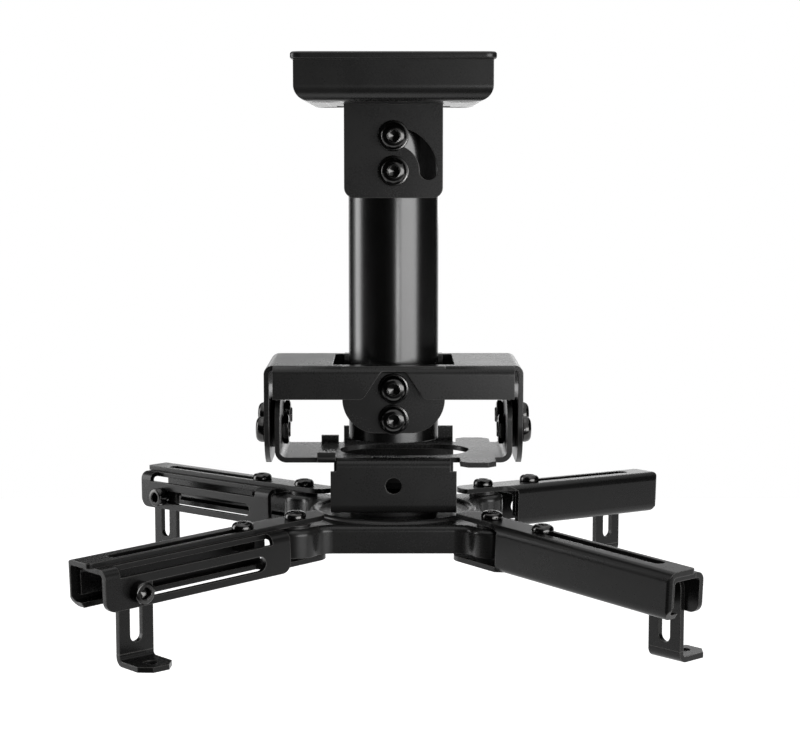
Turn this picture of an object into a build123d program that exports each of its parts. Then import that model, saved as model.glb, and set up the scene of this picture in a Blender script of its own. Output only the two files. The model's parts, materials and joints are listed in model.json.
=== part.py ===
"""Projector ceiling mount: ceiling plate, tilting pole, yoke, cradle and a spider with four arms.

Millimetres, +Z up. The origin is the middle of the face that lies against the ceiling, and the
mount hangs below it. -Y is the front, where the bolt heads are. Each arm is modelled in a frame
of its own: x runs outward along the arm, y to its left and z up from the hub's pad.
"""
import os
from math import atan2, cos, degrees, hypot, radians, sin, sqrt

from build123d import *

# Sheet metal and running gaps
SHEET = 2.5  # thickness of every folded sheet
BEND = 3.0  # bend radius at the middle of the sheet
GAP = 0.3  # running gap between curved or sliding faces
HOLE_GAP = 0.4  # a bolt hole over its bolt, on the diameter

# Fasteners: shank, head diameter and height, socket, washer, nut
M8 = {"shank": 8.0, "head": 13.0, "rise": 4.4, "hex": 5.0, "washer": 15.0, "nut": 13.0, "nut_h": 6.5}
M6 = {"shank": 6.0, "head": 10.5, "rise": 3.4, "hex": 4.0, "washer": 12.0, "nut": 10.0, "nut_h": 5.0}
WASHER_T = 1.6
BOLT_END = 1.5  # thread showing past a nut
CAP = {"shank": 6.0, "head": 10.0, "rise": 5.5, "hex": 5.0}
BUTTON_HEAD = {"rim": 0.2, "crown": 0.5, "socket": 0.55}  # shares of a head's height, width and height
CAP_HEAD = {"rim": 0.85, "crown": 0.86, "socket": 0.6}
SLOT_PLAY = 0.6  # a clamping slot over its bolt, on the width

# Ceiling plate and tray
PLATE_W, PLATE_D, PLATE_T = 95.0, 153.0, 3.5
PLATE_CORNER, PLATE_EDGE = 5.0, 1.2
TRAY_W, TRAY_D, TRAY_H, TRAY_BEND = 92.0, 150.0, 19.0, 6.0
TRAY_SEAM = 0.4  # open seam where two walls meet at a corner
CEILING_HOLE_D, CEILING_IN_X, CEILING_IN_Y = 6.5, 14.0, 19.0  # ceiling holes, in from the tray's sides
DRIVER_HOLE_D = 14.0  # way for a driver through the tray floor
CABLE_W, CABLE_L = 59.0, 19.0  # cable opening behind the pole

# Pole and the clevis that holds its top
POLE_D, POLE_WALL = 45.0, 2.0
POLE_TOP, POLE_END = -33.0, -189.0
CLEVIS_W, CLEVIS_T, CLEVIS_END, CLEVIS_CORNER = 48.0, 3.0, -68.0, 5.0
PITCH_Z = -55.0  # pivot bolt
PITCH_LOCK = 17.0  # lock bolt above the pivot, riding in an arc slot
PITCH_RANGE = 90.0

# Yoke: folded over the pole's lower end
YOKE_W, YOKE_D, YOKE_TOP = 127.0, 68.0, -149.5
YOKE_FLANGE_H, YOKE_FLANGE_SET = 16.3, 4.5  # the flanges end this far inside the ears
YOKE_HOLE_W = 60.0
YOKE_TAB_W, YOKE_TAB_END, YOKE_TAB_CORNER = 50.5, -183.5, 17.0
YOKE_EAR_W, YOKE_EAR_END, YOKE_EAR_CORNER = 60.0, -200.0, 20.0
NOTCH_TOP, NOTCH_BOTTOM, NOTCH_ROUND, NOTCH_CORNER = 12.0, 30.0, 2.5, 4.0
ROLL_Z = -161.3  # upper yoke bolt, the roll pivot
ROLL_LOCK = 15.3  # lower yoke bolt, below the pivot
ROLL_RANGE = 5.0  # each way

# Cradle: ears inside the yoke, and the swivel box below its floor
TILT_Z = -185.0
TILT_LOCK_Y, TILT_LOCK_UP = 17.5, 5.0  # lock bolt behind and above the pivot
TILT_RANGE = 12.0  # each way
TILT_NUT_H, TILT_BOLT_END = 3.2, 0.8  # thin nuts, so that the cradle stays open inside
SPACER_T, SPACER_D = 2.5, 18.0  # friction washers between yoke and cradle
CRADLE_D, CRADLE_FLOOR, CRADLE_BEND = 52.0, -195.5, 4.5
CRADLE_EAR_TOP, CRADLE_EAR_CORNER = -168.0, 9.0
OVAL_L, OVAL_W, OVAL_X = 65.0, 37.0, 5.5
BOX_W, BOX_END, BOX_REAR = 62.0, -223.0, 27.0
BOX_HOLE_D, BOX_HOLE_Z = 8.0, -209.0
WING_X0, WING_X1, WING_D, WING_CHAMFER = 32.5, 50.0, 84.0, 4.0
BOX_RELIEF_W, BOX_RELIEF_H = 3.0, 6.5  # cuts beside the fold at the top of the box
LIP_X0, LIP_X1, LIP_H = -37.5, -28.5, 3.2
REAR_LIP_X, REAR_LIP_W, REAR_LIP_H = 2.5, 57.0, 7.0
REAR_LIP_Y = 37.0  # behind the yoke's bolt ends, so that it clears them when tilted

# Swivel joint between the box and the hub
SWIVEL_D, SWIVEL_HEAD, SWIVEL_HEAD_H = 10.0, 17.0, 6.4
SWIVEL_PAD_D, SWIVEL_PAD_T = 44.0, 3.0
SWIVEL_WASHER_D, SWIVEL_NUT_H = 30.0, 7.0

# Hub: a pressed square with a lobe at each corner and a turned-down rim
HUB_HALF, HUB_RIM_H, HUB_EDGE = 45.0, 13.7, 3.0
HUB_RING_D, HUB_RING_R, HUB_RING_SINK = 80.0, 2.4, 0.8  # round bead pressed up around the swivel
LOBE_X, LOBE_Y, LOBE_R, LOBE_BLEND = 47.5, 46.5, 10.5, 9.0
PAD_RISE, PAD_R, PAD_RECESS_R = 1.6, 7.2, 6.4  # raised seat under each arm, and the nut's recess

# Arms, in each arm's own frame
ARM_DROOP = {"front_left": 2.0, "front_right": 2.8, "rear_left": 0.9, "rear_right": 2.1}  # slope down outward
ARM_YAW = {"front_left": -3.0, "front_right": -3.0, "rear_left": 2.0, "rear_right": -6.0}
ARM_REACH = {"front_left": 0.0, "front_right": 2.0, "rear_left": 0.5, "rear_right": 1.5}  # slide pulled out
RAIL_IN, RAIL_OUT = -18.0, 122.0
RAIL_LEFT, RAIL_RIGHT = 5.5, -12.0
RAIL_H, RAIL_LIP = 22.0, 8.0
RAIL_NOSE, RAIL_CORNER = 8.0, 2.0
RAIL_CHAMFER_X, RAIL_CHAMFER_Z = 3.0, 5.0  # lower corner of the outer end
JAW_X = 15.0  # the rail's wall starts here, so plate and tongue straddle the hub
NECK_Y, NECK_SLOPE = -7.5, 7.0  # the top plate narrows to this edge at the jaw
SLIDE_IN, SLIDE_OUT = 14.0, 118.5
SLIDE_LEFT, SLIDE_DEPTH, SLIDE_INNER_DEPTH, SLIDE_CORNER = 13.0, 19.5, 14.0, 5.0
LOCK_X, LOCK_SLOT_IN, LOCK_SLOT_OUT = 32.0, 31.0, 104.5
EDGE_SLOT_X0, EDGE_SLOT_X1, EDGE_SLOT_Y, EDGE_SLOT_Z = 24.5, 110.5, 7.6, -4.8  # long slot on the fold
WINDOW_IN, WINDOW_Z, WINDOW_W = 32.5, -12.5, 7.2
FOOT_X = 101.0  # foot screw, at the outer end of its window

# Feet
FOOT_W, FOOT_TOP, FOOT_END = 18.5, 6.9, -273.5
FOOT_SLOT = 20.0  # from the upper to the lower end of the slot, between centres
FOOT_TAB, FOOT_HOLE_D, FOOT_HOLE_Y, FOOT_CHAMFER = 19.0, 6.5, 11.0, 5.0
FOOT_ROUND, FOOT_STRAIGHT = 4.0, 1.0  # upper corners; straight end above the fold

CORNERS = {
    "front_left": (-1, -1),
    "front_right": (1, -1),
    "rear_left": (-1, 1),
    "rear_right": (1, 1),
}

# Levels and faces that follow from the sizes above
TRAY_FLOOR = -PLATE_T - TRAY_H
TRAY_ROUND = TRAY_BEND + SHEET / 2  # outside of its folds
CEILING_DX, CEILING_DY = TRAY_W - 2 * CEILING_IN_X, TRAY_D - 2 * CEILING_IN_Y
CLEVIS_IN = POLE_D / 2 + GAP
CLEVIS_OUT = CLEVIS_IN + CLEVIS_T
TAB_OUT = CLEVIS_IN + SHEET
YOKE_IN = YOKE_W / 2 - SHEET
CRADLE_OUT = YOKE_IN - SPACER_T
CRADLE_IN = CRADLE_OUT - SHEET
BOX_FRONT = -CRADLE_D / 2 - BEND - SHEET / 2
TILT_LOCK_ANGLE = degrees(atan2(TILT_LOCK_UP, TILT_LOCK_Y))
SWIVEL_HOLE = SWIVEL_D + HOLE_GAP
HUB_TOP = BOX_END - SWIVEL_PAD_T
PAD_TOP = HUB_TOP + PAD_RISE
SLIDE_IN_FACE = SLIDE_LEFT - SHEET
M8_HOLE = M8["shank"] + HOLE_GAP
M6_SLOT = M6["shank"] + SLOT_PLAY


def across(plane, x):
    """A plane square to the given one's x, so that a section drawn on it runs along x."""
    return Plane(plane.origin + plane.x_dir * x, x_dir=plane.y_dir, z_dir=plane.x_dir)


def beside(plane, y):
    """A plane facing along the given one's -y, with the same x, for cuts from its left."""
    return Plane(plane.origin + plane.y_dir * y, x_dir=plane.x_dir, z_dir=-plane.y_dir)


def moved(plane, x=0.0, y=0.0, z=0.0):
    """The given plane, moved along its own axes."""
    return Plane(
        plane.origin + plane.x_dir * x + plane.y_dir * y + plane.z_dir * z,
        x_dir=plane.x_dir,
        z_dir=plane.z_dir,
    )


def facing(x, y, z, normal):
    """A plane at a point whose z is the given direction, for a fastener's seat."""
    return Plane((x, y, z), z_dir=normal)


def arc_path(height, radius, start, end):
    """Middle line of an arc slot about a pivot at the given height, in its sketch's own axes."""
    return Edge.make_circle(radius, Plane((0, height, 0)), start, end)


def save(builder, name):
    builder.part.label = name
    export_step(builder.part, f"parts/{name}.step")


def save_pieces(pieces, name):
    """Solids that touch along a seam, kept apart in one file."""
    group = Compound([solid for piece in pieces for solid in piece.solids()])
    group.label = name
    export_step(group, f"parts/{name}.step")


def within(builder, x0, x1, y0, y1):
    """The piece of a body that lies between these x and y, over its whole height."""
    with BuildPart() as piece:
        add(builder.part)
        with BuildSketch(Plane.XY.offset(builder.part.bounding_box().min.Z)):
            with Locations(((x0 + x1) / 2, (y0 + y1) / 2)):
                Rectangle(x1 - x0, y1 - y0)
        extrude(amount=builder.part.bounding_box().size.Z, mode=Mode.INTERSECT)
    return piece


def save_bolts(name, seats, size, length, shape=BUTTON_HEAD):
    """Socket-head bolts: each seat's z points out of the head, and the shank runs the other way."""
    shank, head, rise = size["shank"] / 2, size["head"] / 2, size["rise"]
    rim, crown = (head, rise * shape["rim"]), (head * shape["crown"], rise)
    with BuildPart() as bolts:
        for seat in seats:
            with BuildSketch(Plane(seat.origin, x_dir=seat.x_dir, z_dir=-seat.y_dir)):
                with BuildLine():
                    Polyline((0, rise), (0, -length), (shank, -length), (shank, 0), (head, 0), rim)
                    TangentArc(rim, crown, tangent=(0, 1))
                    Line(crown, (0, rise))
                make_face()
            revolve(axis=Axis(seat.origin, seat.z_dir))
            with BuildSketch(moved(seat, z=rise)):
                RegularPolygon(size["hex"] / sqrt(3), 6)
            extrude(amount=-rise * shape["socket"], mode=Mode.SUBTRACT)
    save(bolts, name)


def save_nuts(name, seats, across_flats, height, bore):
    """Hexagon nuts that stand on their seats and grow along the seat's z."""
    with BuildPart() as nuts:
        for seat in seats:
            with BuildSketch(seat):
                RegularPolygon(across_flats / sqrt(3), 6)
                Circle(bore / 2, mode=Mode.SUBTRACT)
            extrude(amount=height)
    save(nuts, name)


def save_washers(name, seats, diameter, thickness, bore):
    """Flat rings that stand on their seats and grow along the seat's z."""
    with BuildPart() as washers:
        for seat in seats:
            with BuildSketch(seat):
                Circle(diameter / 2)
                Circle(bore / 2, mode=Mode.SUBTRACT)
            extrude(amount=thickness)
    save(washers, name)


def ceiling_plate():
    with BuildPart() as plate:
        with BuildSketch():
            RectangleRounded(PLATE_W, PLATE_D, PLATE_CORNER)
            with GridLocations(CEILING_DX, CEILING_DY, 2, 2):
                Circle(CEILING_HOLE_D / 2, mode=Mode.SUBTRACT)
            with Locations((0, CLEVIS_OUT + SHEET + CABLE_L / 2)):
                RectangleRounded(CABLE_W, CABLE_L, PLATE_CORNER, mode=Mode.SUBTRACT)
        extrude(amount=-PLATE_T)
        faces = plate.faces().sort_by(Axis.Z)
        fillet(faces[0].outer_wire().edges() + faces[-1].outer_wire().edges(), PLATE_EDGE)
    save(plate, "ceiling_plate")


def ceiling_tray():
    """Folded box: front and rear walls run full width, the side walls stand between them.

    It is kept as four walls and a floor in nine fields, parted through the driver holes.
    """
    half_w, half_d = TRAY_W / 2 - SHEET / 2, TRAY_D / 2 - SHEET / 2
    low, high = TRAY_FLOOR + SHEET / 2, -PLATE_T
    with BuildPart() as tray:
        with BuildSketch(Plane.YZ):
            with BuildLine():
                FilletPolyline(
                    (-half_d, high), (-half_d, low), (half_d, low), (half_d, high), radius=TRAY_BEND
                )
            trace(line_width=SHEET)
        extrude(amount=TRAY_W / 2, both=True)
        with BuildSketch(Plane.XZ):
            with BuildLine():
                FilletPolyline(
                    (-half_w, high), (-half_w, low), (half_w, low), (half_w, high), radius=TRAY_BEND
                )
            trace(line_width=SHEET)
        extrude(amount=TRAY_D / 2 - SHEET - TRAY_SEAM, both=True)
        for view, width, depth in ((Plane.XZ, TRAY_W, TRAY_D), (Plane.YZ, TRAY_D, TRAY_W)):
            with BuildSketch(view) as outline:
                with Locations((0, (TRAY_FLOOR - PLATE_T) / 2)):
                    Rectangle(width, TRAY_H)
                fillet(outline.vertices().group_by(Axis.Y)[0], TRAY_ROUND)
            extrude(amount=depth / 2, both=True, mode=Mode.INTERSECT)
        with BuildSketch(Plane.XY.offset(TRAY_FLOOR)):
            Rectangle(CLEVIS_W + 2 * GAP, 2 * CLEVIS_OUT + 2 * GAP)
            with Locations((0, CLEVIS_OUT + SHEET + CABLE_L / 2)):
                Rectangle(CABLE_W, CABLE_L)
            with GridLocations(CEILING_DX, CEILING_DY, 2, 2):
                Circle(DRIVER_HOLE_D / 2)
        extrude(amount=SHEET, mode=Mode.SUBTRACT)
    flat_x, flat_y = half_w - TRAY_BEND, half_d - TRAY_BEND
    columns = [(-flat_x, -CEILING_DX / 2), (-CEILING_DX / 2, CEILING_DX / 2), (CEILING_DX / 2, flat_x)]
    rows = [(-flat_y, -CEILING_DY / 2), (-CEILING_DY / 2, CEILING_DY / 2), (CEILING_DY / 2, flat_y)]
    fields = [(*column, *row) for column in columns for row in rows]
    middle = fields.pop(len(fields) // 2)
    walls = [(-TRAY_W / 2, TRAY_W / 2, *ends) for ends in ((-TRAY_D / 2, -flat_y), (flat_y, TRAY_D / 2))]
    walls += [(*ends, -flat_y, flat_y) for ends in ((-TRAY_W / 2, -flat_x), (flat_x, TRAY_W / 2))]
    save_pieces([within(tray, *bounds) for bounds in walls + fields], "ceiling_tray")
    save(within(tray, *middle), "tray_floor")


def clevis_bracket():
    """Inverted channel under the plate; its legs hold the pole and carry the arc slots."""
    leg, web = CLEVIS_IN + CLEVIS_T / 2, -PLATE_T - CLEVIS_T / 2
    with BuildPart() as clevis:
        with BuildSketch(Plane.YZ):
            with BuildLine():
                FilletPolyline((-leg, CLEVIS_END), (-leg, web), (leg, web), (leg, CLEVIS_END), radius=BEND)
            trace(line_width=CLEVIS_T)
        extrude(amount=CLEVIS_W / 2, both=True)
        fillet(clevis.edges().filter_by(Axis.Y).group_by(Axis.Z)[0], CLEVIS_CORNER)
        with BuildSketch(Plane.XZ):
            with Locations((0, PITCH_Z)):
                Circle(M8_HOLE / 2)
            SlotArc(arc_path(PITCH_Z, PITCH_LOCK, 90 - PITCH_RANGE, 90), M8["shank"] + SLOT_PLAY)
        extrude(amount=CLEVIS_OUT, both=True, mode=Mode.SUBTRACT)
    save(clevis, "clevis_bracket")


def pole_tube():
    with BuildPart() as pole:
        with BuildSketch(Plane.XY.offset(POLE_END)):
            Circle(POLE_D / 2)
            Circle(POLE_D / 2 - POLE_WALL, mode=Mode.SUBTRACT)
        extrude(amount=POLE_TOP - POLE_END)
        with BuildSketch(Plane.XZ):
            with Locations((0, PITCH_Z), (0, PITCH_Z + PITCH_LOCK), (0, ROLL_Z), (0, ROLL_Z - ROLL_LOCK)):
                Circle(M8_HOLE / 2)
        extrude(amount=POLE_D / 2, both=True, mode=Mode.SUBTRACT)
    save(pole, "pole_tube")


def cross_bolts(name, outer_face, heights):
    """Bolts through the pole along Y, with a washer at each end and a nut behind."""
    seat = outer_face + WASHER_T
    length = 2 * seat + M8["nut_h"] + BOLT_END
    front = [facing(0, -outer_face, z, (0, -1, 0)) for z in heights]
    rear = [facing(0, outer_face, z, (0, 1, 0)) for z in heights]
    save_bolts(f"{name}_bolts", [moved(p, z=WASHER_T) for p in front], M8, length)
    save_washers(f"{name}_washers", front + rear, M8["washer"], WASHER_T, M8_HOLE)
    save_nuts(f"{name}_nuts", [moved(p, z=WASHER_T) for p in rear], M8["nut"], M8["nut_h"], M8_HOLE)


def yoke():
    """One folded sheet: top, two side ears, front and rear flanges, and two tabs on the pole."""
    top_mid = YOKE_TOP - SHEET / 2
    ear_mid, flange_mid = YOKE_W / 2 - SHEET / 2, YOKE_D / 2 - SHEET / 2
    flange_end = YOKE_TOP - YOKE_FLANGE_H
    tab_mid = CLEVIS_IN + SHEET / 2
    with BuildPart() as body:
        with BuildSketch(Plane.XZ):
            with BuildLine():
                FilletPolyline(
                    (-ear_mid, YOKE_EAR_END), (-ear_mid, top_mid),
                    (ear_mid, top_mid), (ear_mid, YOKE_EAR_END), radius=BEND,
                )
            trace(line_width=SHEET)
        extrude(amount=YOKE_EAR_W / 2, both=True)
        fillet(body.edges().filter_by(Axis.X).group_by(Axis.Z)[0], YOKE_EAR_CORNER)
        with BuildSketch(Plane.YZ):
            with BuildLine():
                FilletPolyline(
                    (-flange_mid, flange_end), (-flange_mid, top_mid),
                    (flange_mid, top_mid), (flange_mid, flange_end), radius=BEND,
                )
            trace(line_width=SHEET)
        extrude(amount=YOKE_W / 2 - YOKE_FLANGE_SET, both=True)
        with BuildSketch(Plane.XY.offset(YOKE_TOP)):
            Rectangle(YOKE_HOLE_W, 2 * TAB_OUT)
        extrude(amount=-SHEET, mode=Mode.SUBTRACT)
        for side in (-1, 1):
            with BuildSketch(Plane.YZ):
                with BuildLine():
                    FilletPolyline(
                        (side * flange_mid, top_mid), (side * tab_mid, top_mid),
                        (side * tab_mid, YOKE_TAB_END), radius=BEND,
                    )
                trace(line_width=SHEET)
            extrude(amount=YOKE_TAB_W / 2, both=True)
        at_tab_end = body.edges().filter_by(Axis.Y).filter_by_position(
            Axis.Z, YOKE_TAB_END - GAP, YOKE_TAB_END + GAP
        )
        fillet(at_tab_end, YOKE_TAB_CORNER)
        for side in (-1, 1):
            flange_face = Plane((0, side * YOKE_D / 2, 0), x_dir=(1, 0, 0), z_dir=(0, -1, 0))
            with BuildSketch(flange_face) as notch:
                with BuildLine():
                    Polyline(
                        (-NOTCH_TOP / 2, YOKE_TOP - SHEET), (NOTCH_TOP / 2, YOKE_TOP - SHEET),
                        (NOTCH_BOTTOM / 2, flange_end), (-NOTCH_BOTTOM / 2, flange_end), close=True,
                    )
                make_face()
                fillet(notch.vertices().group_by(Axis.Y)[-1], NOTCH_ROUND)
            extrude(amount=side * (BEND + SHEET / 2), mode=Mode.SUBTRACT)
        at_flange_end = body.edges().filter_by(Axis.Y).filter_by_position(
            Axis.Z, flange_end - GAP, flange_end + GAP
        )
        fillet([e for e in at_flange_end if abs(e.center().X) < NOTCH_BOTTOM], NOTCH_CORNER)
        with BuildSketch(Plane.XZ):
            with Locations((0, ROLL_Z)):
                Circle(M8_HOLE / 2)
            below = arc_path(ROLL_Z, ROLL_LOCK, 270 - ROLL_RANGE, 270 + ROLL_RANGE)
            SlotArc(below, M8["shank"] + SLOT_PLAY)
        extrude(amount=TAB_OUT, both=True, mode=Mode.SUBTRACT)
        with BuildSketch(Plane.YZ):
            with Locations((0, TILT_Z)):
                Circle(M8_HOLE / 2)
            behind = arc_path(
                TILT_Z, hypot(TILT_LOCK_Y, TILT_LOCK_UP),
                TILT_LOCK_ANGLE - TILT_RANGE, TILT_LOCK_ANGLE + TILT_RANGE,
            )
            SlotArc(behind, M8["shank"] + SLOT_PLAY)
        extrude(amount=YOKE_W / 2, both=True, mode=Mode.SUBTRACT)
    save(body, "yoke")


def cradle():
    """One folded sheet: floor with two ears, a swivel box below, wings, lips and an oval hole."""
    ear_mid, floor_mid = CRADLE_OUT - SHEET / 2, CRADLE_FLOOR - SHEET / 2
    front_mid, rear_mid, web_mid = BOX_FRONT + SHEET / 2, BOX_REAR - SHEET / 2, BOX_END + SHEET / 2
    with BuildPart() as body:
        with BuildSketch(Plane.XZ):
            with BuildLine():
                FilletPolyline(
                    (-ear_mid, CRADLE_EAR_TOP), (-ear_mid, floor_mid),
                    (ear_mid, floor_mid), (ear_mid, CRADLE_EAR_TOP), radius=CRADLE_BEND,
                )
            trace(line_width=SHEET)
        extrude(amount=CRADLE_D / 2, both=True)
        fillet(body.edges().filter_by(Axis.X).group_by(Axis.Z)[-1], CRADLE_EAR_CORNER)
        with BuildSketch(Plane.YZ):
            with BuildLine():
                FilletPolyline(
                    (0, floor_mid), (front_mid, floor_mid), (front_mid, web_mid),
                    (rear_mid, web_mid), (rear_mid, floor_mid), radius=BEND,
                )
            trace(line_width=SHEET)
        extrude(amount=BOX_W / 2, both=True)
        with BuildSketch(Plane.XY.offset(CRADLE_FLOOR)):
            with Locations(*((side * BOX_W / 2, BOX_FRONT) for side in (-1, 1))):
                Rectangle(2 * BOX_RELIEF_W, 2 * (-CRADLE_D / 2 - BOX_FRONT))
        extrude(amount=-BOX_RELIEF_H, mode=Mode.SUBTRACT)
        with BuildSketch(Plane.XY.offset(CRADLE_FLOOR)) as wing:
            with Locations(((WING_X0 + WING_X1) / 2, 0)):
                Rectangle(WING_X1 - WING_X0, WING_D)
            chamfer(wing.vertices(), WING_CHAMFER)
        extrude(amount=-SHEET)
        for side in (-1, 1):
            with BuildSketch(Plane.YZ.offset(LIP_X0)):
                with BuildLine():
                    FilletPolyline(
                        (0, floor_mid), (side * front_mid, floor_mid),
                        (side * front_mid, CRADLE_FLOOR + LIP_H), radius=BEND,
                    )
                trace(line_width=SHEET)
            extrude(amount=LIP_X1 - LIP_X0)
        with BuildSketch(Plane.YZ.offset(REAR_LIP_X - REAR_LIP_W / 2)):
            with BuildLine():
                FilletPolyline(
                    (0, floor_mid), (REAR_LIP_Y, floor_mid),
                    (REAR_LIP_Y, CRADLE_FLOOR + REAR_LIP_H), radius=BEND,
                )
            trace(line_width=SHEET)
        extrude(amount=REAR_LIP_W)
        with BuildSketch(Plane.XY.offset(CRADLE_FLOOR)):
            with Locations((OVAL_X, 0)):
                SlotOverall(OVAL_L, OVAL_W)
        extrude(amount=-SHEET, mode=Mode.SUBTRACT)
        with BuildSketch(Plane.XZ.offset(-BOX_FRONT)):
            with Locations((0, BOX_HOLE_Z)):
                Circle(BOX_HOLE_D / 2)
        extrude(amount=-SHEET, mode=Mode.SUBTRACT)
        with BuildSketch(Plane.XY.offset(BOX_END)):
            Circle(SWIVEL_HOLE / 2)
        extrude(amount=SHEET, mode=Mode.SUBTRACT)
        with BuildSketch(Plane.YZ):
            with Locations((0, TILT_Z), (TILT_LOCK_Y, TILT_Z + TILT_LOCK_UP)):
                Circle(M8_HOLE / 2)
        extrude(amount=CRADLE_OUT, both=True, mode=Mode.SUBTRACT)
    save(body, "cradle")


def tilt_fasteners():
    """On each side, a pivot bolt and a lock bolt through the yoke's ear and the cradle's."""
    places = [
        (side, y, z)
        for side in (-1, 1)
        for y, z in ((0, TILT_Z), (TILT_LOCK_Y, TILT_Z + TILT_LOCK_UP))
    ]
    outside = [facing(s * YOKE_W / 2, y, z, (s, 0, 0)) for s, y, z in places]
    between = [facing(s * CRADLE_OUT, y, z, (s, 0, 0)) for s, y, z in places]
    inside = [facing(s * CRADLE_IN, y, z, (-s, 0, 0)) for s, y, z in places]
    grip = WASHER_T + YOKE_W / 2 - CRADLE_IN + TILT_NUT_H + TILT_BOLT_END
    save_bolts("tilt_bolts", [moved(p, z=WASHER_T) for p in outside], M8, grip)
    save_washers("tilt_washers", outside, M8["washer"], WASHER_T, M8_HOLE)
    save_washers("tilt_spacers", between, SPACER_D, SPACER_T, M8_HOLE)
    save_nuts("tilt_nuts", inside, M8["nut"], TILT_NUT_H, M8_HOLE)


def swivel_joint():
    """Bolt through the box and the hub, a friction pad between them and a nut below."""
    web_top, hub_under = BOX_END + SHEET, HUB_TOP - SHEET
    bolt_end = hub_under - WASHER_T - SWIVEL_NUT_H - BOLT_END
    with BuildPart() as bolt:
        with BuildSketch(Plane.XY.offset(web_top)):
            RegularPolygon(SWIVEL_HEAD / sqrt(3), 6)
        extrude(amount=SWIVEL_HEAD_H)
        with BuildSketch(Plane.XY.offset(web_top)):
            Circle(SWIVEL_D / 2)
        extrude(amount=bolt_end - web_top)
    save(bolt, "swivel_bolt")
    under = facing(0, 0, hub_under, (0, 0, -1))
    save_washers("swivel_pad", [Plane.XY.offset(HUB_TOP)], SWIVEL_PAD_D, SWIVEL_PAD_T, SWIVEL_HOLE)
    save_washers("swivel_washer", [under], SWIVEL_WASHER_D, WASHER_T, SWIVEL_HOLE)
    save_nuts("swivel_nut", [moved(under, z=WASHER_T)], SWIVEL_HEAD, SWIVEL_NUT_H, SWIVEL_HOLE)


def arm_plane(corner):
    """The arm's own frame: at its pivot on the pad, x outward and sloping down."""
    sx, sy = CORNERS[corner]
    diagonal = {(1, 1): 45, (-1, 1): 135, (-1, -1): 225, (1, -1): 315}[(sx, sy)]
    yaw, droop = radians(diagonal + ARM_YAW[corner]), radians(ARM_DROOP[corner])
    outward = Vector(cos(yaw), sin(yaw), 0)
    up = Vector(0, 0, 1)
    return Plane(
        (sx * LOBE_X, sy * LOBE_Y, PAD_TOP),
        x_dir=outward * cos(droop) - up * sin(droop),
        z_dir=outward * sin(droop) + up * cos(droop),
    )


def hub_outline(inset):
    """The hub in plan: a square with a round lobe at each corner, blended, drawn inside a sketch."""
    with BuildSketch(mode=Mode.PRIVATE) as outline:
        Rectangle(2 * HUB_HALF, 2 * HUB_HALF)
        with GridLocations(2 * LOBE_X, 2 * LOBE_Y, 2, 2):
            Circle(LOBE_R)
        inner = [v for v in outline.vertices() if max(abs(v.X), abs(v.Y)) < HUB_HALF + GAP]
        fillet(inner, LOBE_BLEND)
        if inset:
            offset(amount=-inset, kind=Kind.ARC)
    return outline.sketch


def hub(arms):
    """Pressed spider: flat top, turned-down rim, a ring bead and a sloping pad on each lobe."""
    with BuildPart() as body:
        with BuildSketch(Plane.XY.offset(HUB_TOP)):
            add(hub_outline(0))
        extrude(amount=-HUB_RIM_H)
        fillet(body.edges().group_by(Axis.Z)[-1], HUB_EDGE)
        with BuildSketch(Plane.XZ):
            with Locations((HUB_RING_D / 2, HUB_TOP - HUB_RING_SINK)):
                Circle(HUB_RING_R)
        revolve(axis=Axis.Z)
        for arm in arms:
            with BuildSketch(arm):
                Circle(PAD_R)
            extrude(amount=-2 * PAD_RISE)
        with BuildSketch(Plane.XY.offset(HUB_TOP - SHEET)):
            add(hub_outline(SHEET))
        extrude(amount=-HUB_RIM_H, mode=Mode.SUBTRACT)
        for arm in arms:
            with BuildSketch(arm.offset(-SHEET)):
                Circle(PAD_RECESS_R)
            extrude(amount=-2 * PAD_RISE, mode=Mode.SUBTRACT)
        with BuildSketch(Plane.XY.offset(HUB_TOP)):
            Circle(SWIVEL_HOLE / 2)
        extrude(amount=-SHEET, mode=Mode.SUBTRACT)
        for arm in arms:
            with BuildSketch(arm):
                Circle((M6["shank"] + HOLE_GAP) / 2)
            extrude(amount=-2 * SHEET, mode=Mode.SUBTRACT)
    save(body, "hub")


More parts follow.
